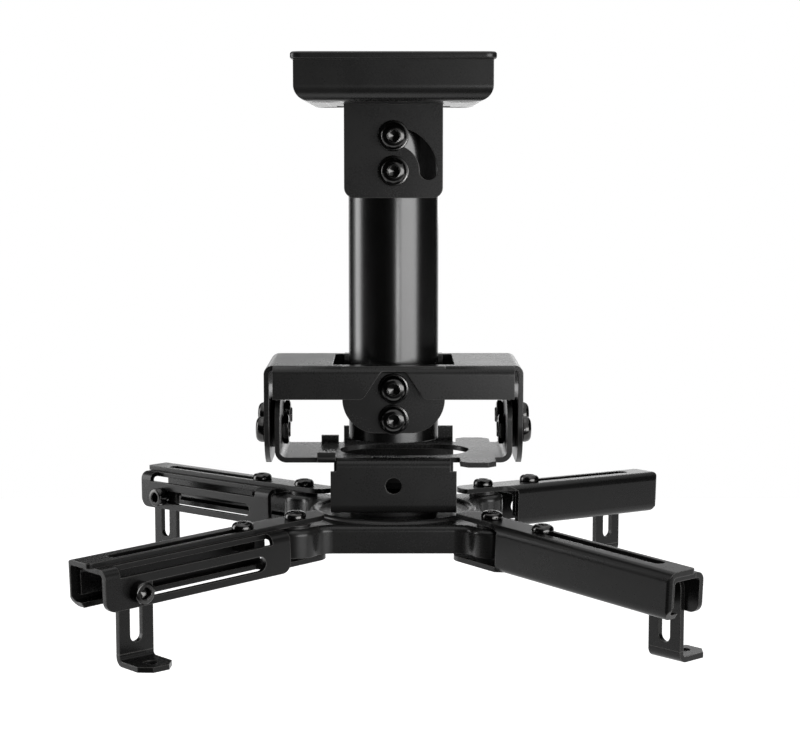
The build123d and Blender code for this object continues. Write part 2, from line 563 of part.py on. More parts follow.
def rail(corner, arm):
    """C-shaped rail: slotted top, one side wall and a lip; its inner end straddles the hub."""
    lip_top = SHEET - RAIL_H + SHEET
    low = lip_top - SHEET
    wall_mid = RAIL_RIGHT + SHEET / 2
    with BuildPart() as body:
        with BuildSketch(across(arm, RAIL_IN)):
            with BuildLine():
                FilletPolyline(
                    (RAIL_LEFT, SHEET / 2), (wall_mid, SHEET / 2), (wall_mid, lip_top - SHEET / 2),
                    (RAIL_RIGHT + RAIL_LIP, lip_top - SHEET / 2), radius=BEND,
                )
            trace(line_width=SHEET)
        extrude(amount=RAIL_OUT - RAIL_IN)
        with BuildSketch(arm.offset(SHEET)) as plan:
            with BuildLine():
                Polyline(
                    (RAIL_IN, RAIL_LEFT), (RAIL_IN, RAIL_RIGHT),
                    (RAIL_OUT, RAIL_RIGHT), (RAIL_OUT, RAIL_LEFT), close=True,
                )
            make_face()
            fillet(plan.vertices().group_by(Axis.X)[0], RAIL_NOSE)
            fillet(plan.vertices().group_by(Axis.X)[-1], RAIL_CORNER)
        extrude(amount=-RAIL_H, mode=Mode.INTERSECT)
        with BuildSketch(arm):
            with BuildLine():
                Polyline((RAIL_IN, 0), (RAIL_IN, RAIL_RIGHT), (JAW_X, RAIL_RIGHT), (JAW_X, 0), close=True)
            make_face()
        extrude(amount=lip_top, mode=Mode.SUBTRACT)
        with BuildSketch(arm.offset(low)) as tongue:
            with BuildLine():
                Polyline(
                    (RAIL_IN, RAIL_LEFT), (RAIL_IN, RAIL_RIGHT), (JAW_X, RAIL_RIGHT),
                    (JAW_X + NECK_SLOPE, RAIL_RIGHT + RAIL_LIP), (JAW_X, RAIL_LEFT), close=True,
                )
            make_face()
            fillet(tongue.vertices().group_by(Axis.X)[0], RAIL_NOSE)
        extrude(amount=SHEET)
        with BuildSketch(arm) as neck:
            with BuildLine():
                Polyline(
                    (RAIL_IN, RAIL_RIGHT), (RAIL_IN, NECK_Y), (JAW_X - NECK_SLOPE, NECK_Y),
                    (JAW_X, RAIL_RIGHT), close=True,
                )
            make_face()
            fillet(neck.vertices().sort_by(Axis.X)[2], NECK_SLOPE)
        extrude(amount=SHEET, mode=Mode.SUBTRACT)
        with BuildSketch(beside(arm, RAIL_LEFT)):
            with BuildLine():
                Polyline(
                    (RAIL_OUT, low), (RAIL_OUT, low + RAIL_CHAMFER_Z),
                    (RAIL_OUT - RAIL_CHAMFER_X, low), close=True,
                )
            make_face()
        extrude(amount=RAIL_LEFT - RAIL_RIGHT, mode=Mode.SUBTRACT)
        with BuildSketch(arm):
            Circle(M6_SLOT / 2)
            with Locations(((LOCK_SLOT_IN + LOCK_SLOT_OUT) / 2, 0)):
                SlotCenterToCenter(LOCK_SLOT_OUT - LOCK_SLOT_IN, M6_SLOT)
        extrude(amount=SHEET, mode=Mode.SUBTRACT)
    save(body, f"rail_{corner}")


def slide(corner, arm):
    """Angle that runs in the rail: top and inner wall, with the lock screw's hole."""
    right_mid = RAIL_RIGHT + SHEET + GAP + SHEET / 2
    with BuildPart() as body:
        with BuildSketch(across(arm, SLIDE_IN)):
            with BuildLine():
                FilletPolyline(
                    (EDGE_SLOT_Y, -SHEET / 2), (right_mid, -SHEET / 2),
                    (right_mid, -SLIDE_INNER_DEPTH), radius=BEND,
                )
            trace(line_width=SHEET)
        extrude(amount=SLIDE_OUT - SLIDE_IN)
        with BuildSketch(moved(arm, x=LOCK_X)):
            Circle((M6["shank"] + HOLE_GAP) / 2)
        extrude(amount=-SHEET, mode=Mode.SUBTRACT)
    save(body, f"slide_{corner}")


def side_plate(corner, arm):
    """Flat plate with the window in which the foot is set, and the two ears that fold to the slide."""
    with BuildPart() as plate:
        with BuildSketch(beside(arm, SLIDE_LEFT)) as outline:
            with BuildLine():
                Polyline(
                    (SLIDE_IN, EDGE_SLOT_Z), (SLIDE_OUT, EDGE_SLOT_Z),
                    (SLIDE_OUT, -SLIDE_DEPTH), (SLIDE_IN, -SLIDE_DEPTH), close=True,
                )
            make_face()
            fillet(outline.vertices().group_by(Axis.Y)[0], SLIDE_CORNER)
            with Locations(((WINDOW_IN + FOOT_X) / 2, WINDOW_Z)):
                SlotCenterToCenter(FOOT_X - WINDOW_IN, WINDOW_W, mode=Mode.SUBTRACT)
        extrude(amount=SHEET)
    pieces, left_mid = [plate], SLIDE_LEFT - SHEET / 2
    for start, end in ((SLIDE_IN, EDGE_SLOT_X0), (EDGE_SLOT_X1, SLIDE_OUT)):
        with BuildPart() as ear:
            with BuildSketch(across(arm, start)):
                with BuildLine():
                    FilletPolyline(
                        (EDGE_SLOT_Y, -SHEET / 2), (left_mid, -SHEET / 2), (left_mid, EDGE_SLOT_Z),
                        radius=BEND,
                    )
                trace(line_width=SHEET)
            extrude(amount=end - start)
        pieces.append(ear)
    save_pieces(pieces, f"side_plate_{corner}")


def foot(corner, arm):
    """L-shaped foot: a slotted upright inside the side plate, and a folded tab with a screw hole."""
    hang = moved(arm, x=FOOT_X, y=SLIDE_IN_FACE, z=WINDOW_Z)
    upright = Plane(hang.origin, x_dir=hang.y_dir.cross(Vector(0, 0, 1)), z_dir=(0, 0, 1))
    sole = FOOT_END - hang.origin.Z
    fold = sole + SHEET / 2 + BEND + FOOT_STRAIGHT
    with BuildPart() as plate:
        with BuildSketch(beside(upright, 0)) as outline:
            with Locations((0, (FOOT_TOP + fold) / 2)):
                Rectangle(FOOT_W, FOOT_TOP - fold)
            fillet(outline.vertices().group_by(Axis.Y)[-1], FOOT_ROUND)
            with Locations((0, -FOOT_SLOT / 2)):
                SlotCenterToCenter(FOOT_SLOT, M6_SLOT, rotation=90, mode=Mode.SUBTRACT)
        extrude(amount=SHEET)
    save(plate, f"foot_plate_{corner}")
    with BuildPart() as tab:
        with BuildSketch(across(upright, 0)):
            with BuildLine():
                FilletPolyline(
                    (-SHEET / 2, fold), (-SHEET / 2, sole + SHEET / 2),
                    (FOOT_TAB, sole + SHEET / 2), radius=BEND,
                )
            trace(line_width=SHEET)
        extrude(amount=FOOT_W / 2, both=True)
        tab_end = tab.faces().sort_by(Axis(upright.origin, upright.y_dir))[-1]
        chamfer(tab_end.edges().filter_by(Axis.Z), FOOT_CHAMFER)
        with BuildSketch(moved(upright, y=FOOT_HOLE_Y, z=sole)):
            Circle(FOOT_HOLE_D / 2)
        extrude(amount=SHEET, mode=Mode.SUBTRACT)
    save(tab, f"foot_{corner}")


def arm_fasteners(corner, arm):
    """The slide's lock screw and the foot's clamp screw, each with its nut."""
    lock_length = 2 * SHEET + M6["nut_h"] + BOLT_END
    lock = moved(arm, x=LOCK_X)
    save_bolts(f"slide_screw_{corner}", [moved(lock, z=SHEET)], M6, lock_length)
    lock_nut = Plane(moved(lock, z=-SHEET).origin, x_dir=arm.x_dir, z_dir=-arm.z_dir)
    save_nuts(f"slide_nut_{corner}", [lock_nut], M6["nut"], M6["nut_h"], M6["shank"] + HOLE_GAP)
    clamp = Plane(moved(arm, x=FOOT_X, y=SLIDE_LEFT, z=WINDOW_Z).origin, x_dir=arm.x_dir, z_dir=arm.y_dir)
    save_bolts(f"foot_screw_{corner}", [clamp], CAP, lock_length, CAP_HEAD)
    clamp_nut = Plane(moved(clamp, z=-2 * SHEET).origin, x_dir=arm.x_dir, z_dir=-arm.y_dir)
    save_nuts(f"foot_nut_{corner}", [clamp_nut], M6["nut"], M6["nut_h"], M6["shank"] + HOLE_GAP)


def build():
    os.makedirs("parts", exist_ok=True)
    ceiling_plate()
    ceiling_tray()
    clevis_bracket()
    pole_tube()
    cross_bolts("pitch", CLEVIS_OUT, [PITCH_Z, PITCH_Z + PITCH_LOCK])
    yoke()
    cross_bolts("yoke", TAB_OUT, [ROLL_Z, ROLL_Z - ROLL_LOCK])
    cradle()
    tilt_fasteners()
    swivel_joint()
    arms = {corner: arm_plane(corner) for corner in CORNERS}
    hub(arms.values())
    pivot_length = 2 * SHEET + M6["nut_h"] + BOLT_END
    heads = [moved(arm, z=SHEET) for arm in arms.values()]
    save_bolts("arm_pivot_screws", heads, M6, pivot_length)
    unders = [Plane(moved(arm, z=-SHEET).origin, x_dir=arm.x_dir, z_dir=-arm.z_dir) for arm in arms.values()]
    save_nuts("arm_pivot_nuts", unders, M6["nut"], M6["nut_h"], M6["shank"] + HOLE_GAP)
    for corner, arm in arms.items():
        rail(corner, arm)
        pulled_out = moved(arm, x=ARM_REACH[corner])
        slide(corner, pulled_out)
        side_plate(corner, pulled_out)
        foot(corner, pulled_out)
        arm_fasteners(corner, pulled_out)


build()
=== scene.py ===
import json
from math import cos, pi, radians, sin, sqrt

import bpy
from mathutils import Matrix, Vector


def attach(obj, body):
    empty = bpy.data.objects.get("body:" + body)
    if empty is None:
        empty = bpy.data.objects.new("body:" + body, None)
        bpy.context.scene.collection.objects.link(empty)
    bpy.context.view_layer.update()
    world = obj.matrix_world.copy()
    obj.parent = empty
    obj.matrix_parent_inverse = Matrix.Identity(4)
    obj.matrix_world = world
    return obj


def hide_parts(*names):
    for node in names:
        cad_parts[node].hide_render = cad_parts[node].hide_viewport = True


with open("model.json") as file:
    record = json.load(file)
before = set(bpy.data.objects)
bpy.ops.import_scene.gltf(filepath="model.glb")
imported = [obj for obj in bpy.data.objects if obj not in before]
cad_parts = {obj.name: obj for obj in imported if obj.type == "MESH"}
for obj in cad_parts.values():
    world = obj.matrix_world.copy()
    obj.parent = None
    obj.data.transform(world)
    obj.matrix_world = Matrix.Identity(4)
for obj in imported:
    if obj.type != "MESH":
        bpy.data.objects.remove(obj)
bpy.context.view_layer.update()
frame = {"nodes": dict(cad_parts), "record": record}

MM = 0.001
UP = (0, 0, 1)

# Fasteners, in millimetres
SHEET = 2.5
WASHER_T = 1.6
M8 = {"Shank": 8.0, "Head": 13.0, "Rise": 4.4, "Hex": 5.0, "Pitch": 1.25}
M6 = {"Shank": 6.0, "Head": 10.5, "Rise": 3.4, "Hex": 4.0, "Pitch": 1.0}
CAP = {"Shank": 6.0, "Head": 10.0, "Rise": 5.5, "Hex": 5.0, "Pitch": 1.0}
BUTTON = {"Rim": 0.2, "Crown": 0.5, "Socket": 0.55}  # shares of the head's rise, width and rise
CYLINDER = {"Rim": 0.85, "Crown": 0.86, "Socket": 0.6}
NUT_M8 = {"Flats": 13.0, "Height": 6.5, "Bore": 8.05}
NUT_M8_THIN = {"Flats": 13.0, "Height": 3.2, "Bore": 8.05}
NUT_M6 = {"Flats": 10.0, "Height": 5.0, "Bore": 6.05}
WASHER_M8 = {"Outer": 15.0, "Inner": 8.4, "Thickness": WASHER_T}
LONG_TAIL, SHORT_TAIL = 9.0, 5.0  # threaded end of a bolt through the pole, and of any other

# Small forms of the fasteners
HEAD_EDGE, TAIL_TIP = 0.35 * MM, 0.6 * MM  # chamfers under a head and at a bolt's end
MOUTH_SPREAD, MOUTH_DEPTH, MOUTH_SINK = 0.35 * MM, 0.7 * MM, 0.5 * MM  # countersink of a socket
THREAD_DEPTH = 0.5  # share of the pitch
POINT_R = 0.02 * MM  # blunt end of the drill that made a socket
DRILL_R, DRILL_DEPTH, DRILL_SINK = 0.49, 0.24, 0.22  # shares of a socket's width across flats
NUT_FACE_R, NUT_CORNER_R = 0.485, 0.6  # shares of a nut's width across flats
NUT_SLOPE = 0.55  # fall of a nut's turned corners for their run
NUT_CHAMFER, PAST = 0.6 * MM, 0.2 * MM  # countersink of a nut, and how far its drill stands out
SPARE_HEIGHT = 1.2  # a nut's block before its ends are turned, to the nut's height
WASHER_ROUND = 0.22  # share of a washer's thickness
ROUND, DOME_STEPS, WASHER_STEPS = 40, 8, 3  # sides of a turned shape, steps of a dome and of a soft edge
LATHE_RAIL = 0.05 * MM  # radius of the circle that a lathe's profile is swept along
WELD = 0.002 * MM  # points closer than this become one
SHARP_ANGLE = 34  # degrees between faces that meet in a hard edge

# Seats of the fasteners, in millimetres
CLEVIS_FACE, TAB_FACE = 25.8, 25.3
PITCH_ROWS = (-55.0, -38.0)
YOKE_ROWS = (-161.3, -176.6)
CLEVIS_BOLT, YOKE_BOLT, TILT_BOLT, ARM_BOLT = 62.8, 61.8, 13.1, 11.5
YOKE_FACE, CRADLE_FACE = 63.5, 56.0
TILT_SPOTS = ((0.0, -185.0), (17.5, -180.0))
PAD_TOP = -224.4
LOBE_X, LOBE_Y = 47.5, 46.5
LOCK_X, FOOT_X, SLIDE_LEFT, WINDOW_Z = 32.0, 101.0, 13.0, -12.5
ARMS = {
    # corner: pivot's side in x and y, yaw, droop in degrees, slide pulled out by
    "front_left": (-1, -1, 222.0, 2.0, 0.0),
    "front_right": (1, -1, 312.0, 2.8, 2.0),
    "rear_left": (-1, 1, 137.0, 0.9, 0.5),
    "rear_right": (1, 1, 39.0, 2.1, 1.5),
}
SPINS = (0.35, 1.1, 0.7, 0.1, 0.9, 0.5)  # how far the sockets happen to be turned
LOCK_SPIN, CLAMP_SPIN = 0.4, 0.2  # further turn of an arm's other two screws

# Coats
CLOUD_SCALE, PATCH_SCALE = 14.0, 90.0  # noise, to the metre
BROAD_DETAIL, FINE_DETAIL, NOISE_ROUGH = 3.0, 2.0, 0.55
SPECK_FINER = 3.5  # specks are finer than the grain by this
HALF = 0.5  # middle of a noise, and of the tone
TONE_WEIGHTS = (1.0, 0.5, 0.4)  # of cloud, patch and speck
GLOSS_WEIGHTS = (0.08, 0.04, 0.05)  # of cloud, patch and peel
EDGE_GLOSS = 0.04  # how much smoother an edge is under its painted highlight
EDGE_HIGHLIGHT_GAIN, EDGE_LEAST = 5.0, 0.35  # painted edge highlight for an edge's turn, and the least of it that a patch leaves
DARK_SHARE, PALE_SHARE = 0.72, 1.3  # of a coat's level
# warmth of the random pale tone, then warmth of the painted edge highlight
PALE_WARMTH, EDGE_HIGHLIGHT_WARMTH = 0.02, 0.03
SPECK_HEIGHT = 0.4  # a speck's height to that of the grain
GRAIN_DEPTH = 0.12 * MM
BEVEL_SAMPLES = 6


class Wire:
    """A node's output. Arithmetic on it adds Math nodes, and node() adds any other node."""

    def __init__(self, tree, socket=None):
        self.tree, self.socket = tree, socket

    def node(self, kind, settings=None, sockets=None, out=0):
        made = self.tree.nodes.new(kind)
        for key, value in (settings or {}).items():
            setattr(made, key, value)
        for key, value in (sockets or {}).items():
            for one in value if isinstance(value, list) else [value]:
                if isinstance(one, Wire):
                    self.tree.links.new(one.socket, made.inputs[key])
                else:
                    made.inputs[key].default_value = one
        return Wire(self.tree, made.outputs[out] if len(made.outputs) else None)

    def pick(self, name):
        return Wire(self.tree, self.socket.node.outputs[name])

    def math(self, operation, *values, clamp=False):
        settings = {"operation": operation, "use_clamp": clamp}
        return self.node("ShaderNodeMath", settings, dict(enumerate(values)))

    def clamped(self):
        return self.math("ADD", self, 0.0, clamp=True)

    def __add__(self, other):
        return self.math("ADD", self, other)

    def __radd__(self, other):
        return self.math("ADD", other, self)

    def __sub__(self, other):
        return self.math("SUBTRACT", self, other)

    def __rsub__(self, other):
        return self.math("SUBTRACT", other, self)

    def __mul__(self, other):
        return self.math("MULTIPLY", self, other)

    def __rmul__(self, other):
        return self.math("MULTIPLY", other, self)

    def __truediv__(self, other):
        return self.math("DIVIDE", self, other)

    def __rtruediv__(self, other):
        return self.math("DIVIDE", other, self)


# Finishes

def grey(level, warmth=0.0):
    return (level * (1 + warmth), level, level * (1 - warmth), 1.0)


def swayed(value, noises, weights):
    """A value that each noise moves up and down by its weight."""
    for noise, weight in zip(noises, weights):
        value = value + (noise - HALF) * weight
    return value


def finish(name, level, rough, grain, relief, edge_highlight_level, sheen=0.5, metal=0.0, bevel=0.4 * MM):
    """A dark coat: uneven in tone and gloss, with a fine grain and rounded-looking edges that carry a
    painted highlight.
    """
    material = bpy.data.materials.new(name)
    material.use_nodes = True
    surface = material.node_tree.nodes["Principled BSDF"]
    start = Wire(material.node_tree)
    place = start.node("ShaderNodeTexCoord", out="Object")

    def noise(scale, detail):
        sockets = {"Vector": place, "Scale": scale, "Detail": detail, "Roughness": NOISE_ROUGH}
        return start.node("ShaderNodeTexNoise", sockets=sockets)

    def mix(factor, first, second):
        sockets = {"Factor": factor, 6: first, 7: second}  # 6 and 7 are the two colours, A and B
        return start.node("ShaderNodeMix", {"data_type": "RGBA"}, sockets, out=2)

    cloud, patch = noise(CLOUD_SCALE, BROAD_DETAIL), noise(PATCH_SCALE, BROAD_DETAIL)
    peel, speck = noise(grain, FINE_DETAIL), noise(grain * SPECK_FINER, FINE_DETAIL)
    soft = start.node("ShaderNodeBevel", {"samples": BEVEL_SAMPLES}, {"Radius": bevel})
    true = start.node("ShaderNodeNewGeometry", out="Normal")
    product = {"operation": "DOT_PRODUCT"}
    turned = start.node("ShaderNodeVectorMath", product, {0: soft, 1: true}, out="Value")
    # painted highlight on the edges: the colour is lightened where the bevel's normal turns from the
    # true one
    edge_highlight = ((1 - turned) * EDGE_HIGHLIGHT_GAIN * (EDGE_LEAST + patch)).clamped()
    tone = swayed(HALF, (cloud, patch, speck), TONE_WEIGHTS).clamped()
    body = mix(tone, grey(level * DARK_SHARE), grey(level * PALE_SHARE, PALE_WARMTH))
    colour = mix(edge_highlight, body, grey(edge_highlight_level, EDGE_HIGHLIGHT_WARMTH))
    gloss = swayed(rough, (cloud, patch, peel), GLOSS_WEIGHTS) - edge_highlight * EDGE_GLOSS
    height = peel + speck * SPECK_HEIGHT
    sockets = {"Strength": relief, "Distance": GRAIN_DEPTH, "Height": height, "Normal": soft}
    bump = start.node("ShaderNodeBump", sockets=sockets)
    links = material.node_tree.links
    links.new(colour.socket, surface.inputs["Base Color"])
    links.new(gloss.clamped().socket, surface.inputs["Roughness"])
    links.new(bump.socket, surface.inputs["Normal"])
    surface.inputs["Metallic"].default_value = metal
    surface.inputs["Specular IOR Level"].default_value = sheen
    return material


# each coat's edge level sets the colour of its painted edge highlight
FINISHES = {
    "sheet_black": finish(
        "powder_coat_sheet", level=0.012, rough=0.28, grain=1100.0, relief=0.012,
        edge_highlight_level=0.12, sheen=0.33, bevel=0.6 * MM,
    ),
    "arm_black": finish(
        "powder_coat_arms", level=0.006, rough=0.28, grain=1000.0, relief=0.012,
        edge_highlight_level=0.14, sheen=0.22, bevel=0.6 * MM,
    ),
    "tube_black": finish(
        "powder_coat_tube", level=0.002, rough=0.23, grain=1300.0, relief=0.01,
        edge_highlight_level=0.05, sheen=0.6, bevel=0.6 * MM,
    ),
    "fastener_black": finish(
        "black_zinc", level=0.05, rough=0.17, grain=2400.0, relief=0.05,
        edge_highlight_level=0.15, metal=1.0, bevel=0.2 * MM,
    ),
    "pad_black": finish(
        "matt_nylon", level=0.012, rough=0.55, grain=1800.0, relief=0.25,
        edge_highlight_level=0.03, sheen=0.3,
    ),
}
for part in frame["record"]["subparts"]:
    mesh = frame["nodes"][part["node"]].data
    mesh.materials.clear()
    mesh.materials.append(FINISHES[part["material_slot"]])


# Fastener trees: seats come in as points with a turn, sizes as named inputs

def new_tree(name, sizes):
    tree = bpy.data.node_groups.new(name, "GeometryNodeTree")
    tree.interface.new_socket("Seats", in_out="INPUT", socket_type="NodeSocketGeometry")
    for label in sizes:
        tree.interface.new_socket(label, in_out="INPUT", socket_type="NodeSocketFloat")
    tree.interface.new_socket("Finish", in_out="INPUT", socket_type="NodeSocketMaterial")
    tree.interface.new_socket("Result", in_out="OUTPUT", socket_type="NodeSocketGeometry")
    return Wire(tree).node("NodeGroupInput")


def spot(entry, x, z):
    """A point of a lathe's profile, x from the axis and z along it."""
    return entry.node("ShaderNodeCombineXYZ", sockets={"X": x - LATHE_RAIL, "Y": 0 - z})


def line(entry, first, last):
    sockets = {"Start": spot(entry, *first), "End": spot(entry, *last)}
    return entry.node("GeometryNodeCurvePrimitiveLine", {"mode": "POINTS"}, sockets)


def lines(entry, *points):
    return [line(entry, a, b) for a, b in zip(points, points[1:])]


def circle(entry, radius):
    sockets = {"Resolution": ROUND, "Radius": radius}
    return entry.node("GeometryNodeCurvePrimitiveCircle", {"mode": "RADIUS"}, sockets)


def swept(entry, rail, section):
    sockets = {"Curve": rail, "Profile Curve": section}
    return entry.node("GeometryNodeCurveToMesh", sockets=sockets)


def lathe(entry, profile):
    """The profile's pieces turned about Z into one closed mesh."""
    drawn = entry.node("GeometryNodeJoinGeometry", sockets={0: profile})
    skin = swept(entry, circle(entry, LATHE_RAIL), drawn)
    return entry.node("GeometryNodeMergeByDistance", sockets={"Geometry": skin, "Distance": WELD})


def boolean(entry, operation, first, others):
    sockets = {1: [first, *others]}
    if operation == "DIFFERENCE":
        sockets = {"Mesh 1": first, "Mesh 2": others}
    settings = {"operation": operation, "solver": "EXACT"}
    return entry.node("GeometryNodeMeshBoolean", settings, sockets)


def lifted(entry, shape, z):
    up = entry.node("ShaderNodeCombineXYZ", sockets={"Z": z})
    return entry.node("GeometryNodeTransform", sockets={"Geometry": shape, "Translation": up})


def prism(entry, flats, height):
    """A hexagon of this width across flats, centred on the origin."""
    sockets = {"Vertices": 6, "Radius": flats / sqrt(3), "Depth": height}
    return entry.node("GeometryNodeMeshCylinder", {"fill_type": "NGON"}, sockets)


def cone(entry, bottom, top, depth):
    """A blunt cone that stands on the origin."""
    sockets = {"Vertices": ROUND, "Radius Bottom": bottom, "Radius Top": top, "Depth": depth}
    return entry.node("GeometryNodeMeshCone", {"fill_type": "NGON"}, sockets)


def close_tree(entry, shape):
    named = {"data_type": "FLOAT_VECTOR"}
    turn = entry.node("GeometryNodeInputNamedAttribute", named, {"Name": "turn"})
    rotation = entry.node("FunctionNodeEulerToRotation", sockets={0: turn})
    sockets = {"Points": entry.pick("Seats"), "Instance": shape, "Rotation": rotation}
    placed = entry.node("GeometryNodeInstanceOnPoints", sockets=sockets)
    solid = entry.node("GeometryNodeRealizeInstances", sockets={0: placed})
    sockets = {"Geometry": solid, "Material": entry.pick("Finish")}
    painted = entry.node("GeometryNodeSetMaterial", sockets=sockets)
    entry.node("NodeGroupOutput", sockets={"Result": painted})
    return entry.tree


def bolt_tree():
    """Head with a rounded crown and a hexagon socket, plain shank and a threaded tail."""
    entry = new_tree(
        "bolt", ["Shank", "Head", "Rise", "Hex", "Pitch", "Rim", "Crown", "Socket", "Length", "Tail"]
    )
    shank, head, rise = entry.pick("Shank") / 2, entry.pick("Head") / 2, entry.pick("Rise")
    rim, crown = entry.pick("Rim") * rise, entry.pick("Crown") * head
    length, tail, pitch = entry.pick("Length"), entry.pick("Tail"), entry.pick("Pitch")
    run, climb = head - crown, rise - rim
    swell = rim + (run * run + climb * climb) / (2 * climb)  # where the dome's end tangents meet
    dome = entry.node(
        "GeometryNodeCurveQuadraticBezier",
        sockets={
            "Resolution": DOME_STEPS,
            "Start": spot(entry, crown, rise),
            "Middle": spot(entry, head, swell),
            "End": spot(entry, head, rim),
        },
    )
    cut_from, cut_to = tail - length, TAIL_TIP - length
    turns = (cut_from - cut_to) / pitch
    count = entry.math("ROUND", turns) * 2 + 1
    straight = {"Curve": line(entry, (shank, cut_from), (shank, cut_to)), "Count": count}
    rings = entry.node("GeometryNodeResampleCurve", {"mode": "COUNT"}, straight)
    odd = entry.math("MODULO", entry.node("GeometryNodeInputIndex"), 2.0)
    inward = entry.node("ShaderNodeCombineXYZ", sockets={"X": odd * pitch * -THREAD_DEPTH})
    thread = entry.node("GeometryNodeSetPosition", sockets={"Geometry": rings, "Offset": inward})
    under_head = (head, rim), (head, HEAD_EDGE), (head - HEAD_EDGE, 0), (shank, 0), (shank, cut_from)
    profile = [
        *lines(entry, (0, rise), (crown, rise)),
        dome,
        *lines(entry, *under_head),
        thread,
        *lines(entry, (shank, cut_to), (shank - TAIL_TIP, 0 - length), (0, 0 - length)),
    ]
    turned = lathe(entry, profile)
    hexagon, depth = entry.pick("Hex"), entry.pick("Socket") * rise
    socket = lifted(entry, prism(entry, hexagon, 2 * depth), rise)
    corner = hexagon / sqrt(3)
    mouth = cone(entry, corner - MOUTH_SPREAD, corner + MOUTH_SPREAD, MOUTH_DEPTH)
    mouth = lifted(entry, mouth, rise - MOUTH_SINK)
    drilled = cone(entry, POINT_R, hexagon * DRILL_R, hexagon * DRILL_DEPTH)
    drilled = lifted(entry, drilled, rise - depth - hexagon * DRILL_SINK)
    return close_tree(entry, boolean(entry, "DIFFERENCE", turned, [socket, mouth, drilled]))


def nut_tree():
    """Hexagon with its corners turned off at both ends, bored and countersunk."""
    entry = new_tree("nut", ["Flats", "Height", "Bore"])
    flats, height, bore = entry.pick("Flats"), entry.pick("Height"), entry.pick("Bore") / 2
    face, corner = flats * NUT_FACE_R, flats * NUT_CORNER_R
    slope = (corner - face) * NUT_SLOPE
    lower, upper = [(0, 0), (face, 0), (corner, slope)], [(corner, height - slope), (face, height)]
    blank = lathe(entry, lines(entry, *lower, *upper, (0, height)))
    block = lifted(entry, prism(entry, flats, height * SPARE_HEIGHT), height / 2)
    wide = bore + NUT_CHAMFER + PAST
    drill = [(0, -PAST), (wide, -PAST), (bore, NUT_CHAMFER)]
    drill += [(bore, height - NUT_CHAMFER), (wide, height + PAST), (0, height + PAST)]
    hole = lathe(entry, lines(entry, *drill))
    body = boolean(entry, "INTERSECT", block, [blank])
    return close_tree(entry, boolean(entry, "DIFFERENCE", body, [hole]))


def washer_tree():
    """Flat ring with its edges tumbled round."""
    entry = new_tree("washer", ["Outer", "Inner", "Thickness"])
    outer, inner = entry.pick("Outer") / 2, entry.pick("Inner") / 2
    thickness = entry.pick("Thickness")
    flat = {"Width": outer - inner, "Height": thickness}
    section = entry.node("GeometryNodeCurvePrimitiveQuadrilateral", sockets=flat)
    soft = {"Curve": section, "Count": WASHER_STEPS, "Radius": thickness * WASHER_ROUND}
    section = entry.node("GeometryNodeFilletCurve", {"mode": "POLY"}, soft)
    ring = swept(entry, circle(entry, (outer + inner) / 2), section)
    return close_tree(entry, lifted(entry, ring, thickness / 2))


BOLT, NUT, WASHER = bolt_tree(), nut_tree(), washer_tree()
SHARES = ("Rim", "Crown", "Socket")  # inputs that are shares, not sizes


def axes_at(point, x, z):
    """A place in millimetres, with x and z square to each other."""
    place = Matrix((x, z.cross(x), z)).transposed().to_4x4()
    place.translation = Vector(point)
    return place


def seat(point, out, across, spin=0.0):
    """Where a fastener sits: z looks out of the face, x along a hexagon's corner."""
    place = axes_at(point, Vector(across).normalized(), Vector(out).normalized())
    return place @ Matrix.Rotation(spin, 4, "Z")


def fasteners(name, tree, sizes, seats, body, *nodes):
    """One mesh of fasteners for a body, in place of the solids named."""
    points = bpy.data.meshes.new(name + "_seats")
    points.from_pydata([place.translation * MM for place in seats], [], [])
    turn = points.attributes.new("turn", "FLOAT_VECTOR", "POINT")
    turn.data.foreach_set("vector", [angle for place in seats for angle in place.to_euler()])
    holder = bpy.data.objects.new(name + "_seats", points)
    bpy.context.scene.collection.objects.link(holder)
    grow = holder.modifiers.new("grow", "NODES")
    grow.node_group = tree
    for item in tree.interface.items_tree:
        if item.in_out == "INPUT" and item.name in sizes:
            grow[item.identifier] = sizes[item.name] * (1.0 if item.name in SHARES else MM)
        elif item.name == "Finish":
            grow[item.identifier] = FINISHES["fastener_black"]
    ready = holder.evaluated_get(bpy.context.evaluated_depsgraph_get())
    mesh = bpy.data.meshes.new_from_object(ready)
    bpy.data.objects.remove(holder)
    mesh.shade_smooth()
    mesh.set_sharp_from_angle(angle=radians(SHARP_ANGLE))
    piece = bpy.data.objects.new(name, mesh)
    bpy.context.scene.collection.objects.link(piece)
    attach(piece, body)
    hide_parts(*nodes)


def cross_seats(face, rows, side, raised):
    """Seats on the front (-1) or rear (1) of the bolts that run through the pole."""
    return [
        seat((0, side * (face + raised), z), (0, side, 0), UP, SPINS[i] if side < 0 else 0.0)
        for i, z in enumerate(rows)
    ]


def pole_seats(side, raised=0.0):
    """Seats of the two bolts in the clevis, then of the two in the yoke's tabs."""
    pitch = cross_seats(CLEVIS_FACE, PITCH_ROWS, side, raised)
    return pitch, cross_seats(TAB_FACE, YOKE_ROWS, side, raised)


def add_pole_fasteners():
    pitch_heads, yoke_heads = pole_seats(-1, WASHER_T)
    clevis_bolt = {**M8, **BUTTON, "Length": CLEVIS_BOLT, "Tail": LONG_TAIL}
    tab_bolt = {**clevis_bolt, "Length": YOKE_BOLT}
    fasteners("clevis_bolts", BOLT, clevis_bolt, pitch_heads, "pole", "pitch_bolts")
    fasteners("tab_bolts", BOLT, tab_bolt, yoke_heads, "pole", "yoke_bolts")
    rings = [place for side in (-1, 1) for group in pole_seats(side) for place in group]
    fasteners("pole_washers", WASHER, WASHER_M8, rings, "pole", "pitch_washers", "yoke_washers")
    tails = [place for group in pole_seats(1, WASHER_T) for place in group]
    fasteners("pole_nuts", NUT, NUT_M8, tails, "pole", "pitch_nuts", "yoke_nuts")


